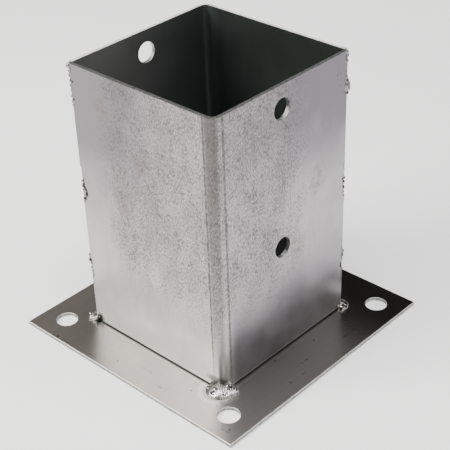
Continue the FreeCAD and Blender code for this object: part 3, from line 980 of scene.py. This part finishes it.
# A foot bead is a pool across its corner, with ripples over part of it: how far its middle lies
# along and out from the corner, its half width, its reach out over the plate and its rise, then
# the shares of its width between which the ripples lie, then the balls of melt that sit on it
# (along, out, height over the plate, radius), all in millimetres
FOOT_BEADS = (
    ("front", FRONT_CORNER, -45, (-1.4, 0.2, 7.9, 7.5, 3.7), (-0.15, 0.95),
     ((1.5, 2.4, 4.2, 0.85), (5.6, 3.4, 0.5, 0.6), (6.8, 2.2, 0.4, 0.5), (-4.4, 2.0, 2.2, 1.3))),
    ("right", RIGHT_CORNER, 45, (0.6, 1.8, 4.8, 4.2, 2.2), (-0.3, 0.4),
     ((-2.5, -2.0, 2.2, 1.25), (0.4, 3.8, 0.9, 0.8), (2.2, 2.6, 1.3, 0.7), (-1.4, 3.6, 0.8, 0.6))),
    ("back", BACK_CORNER, 135, (0.8, 0.2, 8.2, 7.8, 3.8), (-0.8, 0.6), ((-3.0, 3.0, 2.6, 0.8),)),
    ("left", LEFT_CORNER, 225, (-0.3, 0.8, 4.8, 4.6, 2.9), (0.6, 0.9),
     ((-0.6, 5.2, 0.5, 0.9), (0.8, 5.3, 0.5, 0.8), (-3.4, 5.6, 0.5, 0.65), (3.0, 1.6, 2.4, 1.2))),
)
# How much of a pool's height lies below the plate
SUNK_SHARE = 0.35
# Uneven swellings on each pool where it froze, and the steps, in radians round the pool and in
# shares of its height, that scatter them
SWELLINGS = 16
SWELLING_TURN = 2.4
SWELLING_LIFT = 0.618
# Sooty pits in the front foot bead, painted shade on the left bead by the wall and painted dark
# reflection over the right bead, and the radius of each in millimetres
BEAD_PITS_AND_SHADE = [
    (Vector(place) * MM, reach) for place, reach in (
        ((43.4, -54.2, 3.8), 1.15), ((43.8, -53.1, 4.4), 0.8), ((44.0, -51.7, 5.2), 1.0),
        ((48.4, -45.5, 5.0), 1.0), ((-43.8, -49.7, 2.5), 1.8), ((-43.4, -49.0, 3.9), 1.4),
        ((47.9, 44.7, 4.0), 1.4), ((49.1, 45.8, 2.9), 1.0), ((47.7, 47.6, 4.0), 1.8),
        ((48.1, 42.8, 2.5), 1.1), ((50.8, 48.6, 2.2), 1.6), ((50.6, 43.6, 2.2), 1.2),
    )
]


class POSTBASE_OT_foot_welds(bpy.types.Operator):
    """Lay the four corner beads between the sleeve's foot and the plate"""

    bl_idname = "post_base.foot_welds"
    bl_label = "Foot Welds"

    def execute(self, context):
        sizes = context.scene.post_base_sizes
        colours = context.scene.post_base_colours
        metal = weld_metal("bright_foot_weld", colours.weld, 0.58)
        for name, corner, heading, form, ripples, balls in FOOT_BEADS:
            along, apart, half, reach, rise = [value * MM for value in form]
            turn = math.radians(heading)
            out = Vector((math.cos(turn), math.sin(turn), 0))
            across = Vector((-out.y, out.x, 0))
            middle = corner + across * along + out * apart
            # The pool is the cap of a flatter ball, sunk by a share of its height
            tall = rise / (1 - SUNK_SHARE)
            sunk = Vector((0, 0, -SUNK_SHARE * tall))
            drops = [(middle + sunk, (1.07 * reach, 1.07 * half, tall), turn)]
            first, last = ripples
            count = round((last - first) * half / sizes.bead_ripple)
            for index in range(count):
                share = first + (index + 0.5) / count * (last - first)
                wobble = noise.noise(Vector((index * 1.3, heading * 0.37, 2.0)))
                full = math.sqrt(max(0.0, 1 - share * share))
                place = middle + across * share * half + out * wobble * 0.3 * MM
                drops.append((
                    place,
                    (reach * full * 1.01, 0.42 * sizes.bead_ripple,
                     rise * full * (1.03 + 0.05 * wobble)), turn,
                ))
            for index in range(SWELLINGS):
                spin = SWELLING_TURN * index + heading
                lift = 0.15 + 0.7 * ((index * SWELLING_LIFT) % 1)
                level = math.sqrt(1 - lift * lift)
                swell = (0.75 + 0.35 * noise.noise(Vector((index * 0.7, heading, 5.0)))) * MM
                place = middle + 0.86 * (
                    Vector((0, 0, rise * lift)) + across * half * level * math.cos(spin)
                    + out * reach * level * math.sin(spin)
                )
                drops.append((place, (swell, 1.2 * swell, swell), turn))
            for at, away, height, ball in balls:
                place = corner + across * at * MM + out * away * MM
                drops.append((
                    place + Vector((0, 0, height * MM)), (ball * MM, ball * MM, ball * MM), 0.0
                ))
            bead = melt("weld_foot_" + name, drops, BEAD_DETAIL, metal)
            # The bead sits flat on the plate, and none of it has run through into the socket
            gauge = Vector((sizes.gauge, sizes.gauge, 0))
            for low, high in (
                (PLATE[0] - Vector((0, 0, 2 * reach)), PLATE[1]),
                (
                    Vector((REAR[0].x, FRONT[0].y, 0)) + gauge,
                    Vector((FRONT[1].x, REAR[1].y, FRONT[1].z)) - gauge,
                ),
            ):
                clear_selection()
                bpy.ops.mesh.primitive_cube_add(
                    size=1, location=(low + high) / 2, scale=high - low
                )
                space = context.object
                settle(space)
                subtract(bead, space)
            smooth(bead, 55)
            finish_piece(bead, "weld_metal", "foot_weld_" + name)
        return {"FINISHED"}


def softbox(name, place, aim, size, power, tone="#FFFFFF"):
    """A soft square light that points at a place."""
    clear_selection()
    bpy.ops.object.light_add(type="AREA", location=place)
    lamp = bpy.context.object
    lamp.name = name
    lamp.data.shape = "RECTANGLE"
    lamp.data.size, lamp.data.size_y = size
    lamp.data.energy = power
    lamp.data.color = colour(tone)[:3]
    lamp.rotation_euler = (Vector(place) - Vector(aim)).to_track_quat("Z", "Y").to_euler()


def studio_world(scene):
    """A pale studio with a bright wall and a black screen for the metal to reflect."""
    world = bpy.data.worlds.new("studio")
    scene.world = world
    world.use_nodes = True
    tree = world.node_tree
    tree.nodes.clear()
    way = add(tree, "TexCoord").outputs["Generated"]
    layers = []
    # A bright wall on one side and a black screen behind: the heading and height of each, the
    # cosines at which it starts and is full, and its tone
    for heading, height, start, full, tone in (
        (42, 30, 0.35, 0.8, "#EDEDED"), (96, 34, 0.79, 0.86, "#050505"),
    ):
        heading, height = math.radians(heading), math.radians(height)
        centre = Vector((
            math.cos(heading) * math.cos(height), math.sin(heading) * math.cos(height),
            math.sin(height),
        ))
        facing = add(tree, "VectorMath", (way, centre), operation="DOT_PRODUCT")
        layers.append((masked(tree, 1.0, facing, start, full), colour(tone)))
    glow = coat(tree, colour("#8D8681"), layers)
    backdrop = add(tree, "Background", {"Color": glow, "Strength": 1.0})
    add(tree, "OutputWorld", {"Surface": backdrop})


class POSTBASE_OT_stage(bpy.types.Operator):
    """Set up the pale floor, the soft studio lights and the camera"""

    bl_idname = "post_base.stage"
    bl_label = "Stage"

    def execute(self, context):
        colours = context.scene.post_base_colours
        stage = context.scene.post_base_stage
        clear_selection()
        bpy.ops.mesh.primitive_circle_add(
            vertices=96, radius=15.0, fill_type="NGON", location=(0, 0, CAD_BOX[0].z)
        )
        floor = context.object
        floor.name = "floor"
        material, tree, shader, place = start_material("pale_floor_paper")
        layers = [(grain(tree, place, 30), colour("#F6F6F6"))]
        feed(tree, shader.inputs["Base Color"], coat(tree, colours.floor, layers))
        shader.inputs["Roughness"].default_value = 0.9
        shader.inputs["Specular IOR Level"].default_value = 0.1
        paint(floor, material)
        studio_world(context.scene)
        softbox("key", (-0.6, -1.1, 1.0), (0, 0, 0.05), (0.9, 0.9), 36, "#FFFBF6")
        softbox("top", (0.1, -0.1, 1.6), (0, 0, 0), (1.2, 1.2), 44)

        clear_selection()
        bpy.ops.object.camera_add(location=stage.place, rotation=stage.turn)
        camera = context.object
        camera.name = "camera"
        camera.data.lens = stage.lens
        camera.data.shift_y = stage.shift
        camera.data.clip_start = 0.01
        camera.data.clip_end = 20.0
        context.scene.camera = camera
        return {"FINISHED"}


class POSTBASE_PT_panel(bpy.types.Panel):
    """Sidebar panel with the settings and one button for each group of pieces"""

    bl_idname = "POSTBASE_PT_panel"
    bl_label = "Post Base"
    bl_space_type = "VIEW_3D"
    bl_region_type = "UI"
    bl_category = "Post Base"

    def draw(self, context):
        layout = self.layout
        for group, properties in GROUPS:
            column = layout.column()
            for name in properties.__annotations__:
                column.prop(getattr(context.scene, group), name)
        for operator in STEPS:
            layout.operator(operator.bl_idname)


GROUPS = (
    ("post_base_sizes", PostBaseSizes),
    ("post_base_colours", PostBaseColours),
    ("post_base_stage", PostBaseStage),
)
STEPS = (
    POSTBASE_OT_plate, POSTBASE_OT_sleeve, POSTBASE_OT_seam_welds, POSTBASE_OT_foot_welds,
    POSTBASE_OT_stage,
)


def register():
    for name, group in GROUPS:
        bpy.utils.register_class(group)
        setattr(bpy.types.Scene, name, bpy.props.PointerProperty(type=group))
    for item in STEPS + (POSTBASE_PT_panel,):
        bpy.utils.register_class(item)


def unregister():
    for item in STEPS + (POSTBASE_PT_panel,):
        bpy.utils.unregister_class(item)
    for name, group in GROUPS:
        delattr(bpy.types.Scene, name)
        bpy.utils.unregister_class(group)


def main():
    """Build every piece in order."""
    register()
    bpy.ops.post_base.plate()
    bpy.ops.post_base.sleeve()
    bpy.ops.post_base.seam_welds()
    bpy.ops.post_base.foot_welds()
    bpy.ops.post_base.stage()


if __name__ == "__main__":
    main()
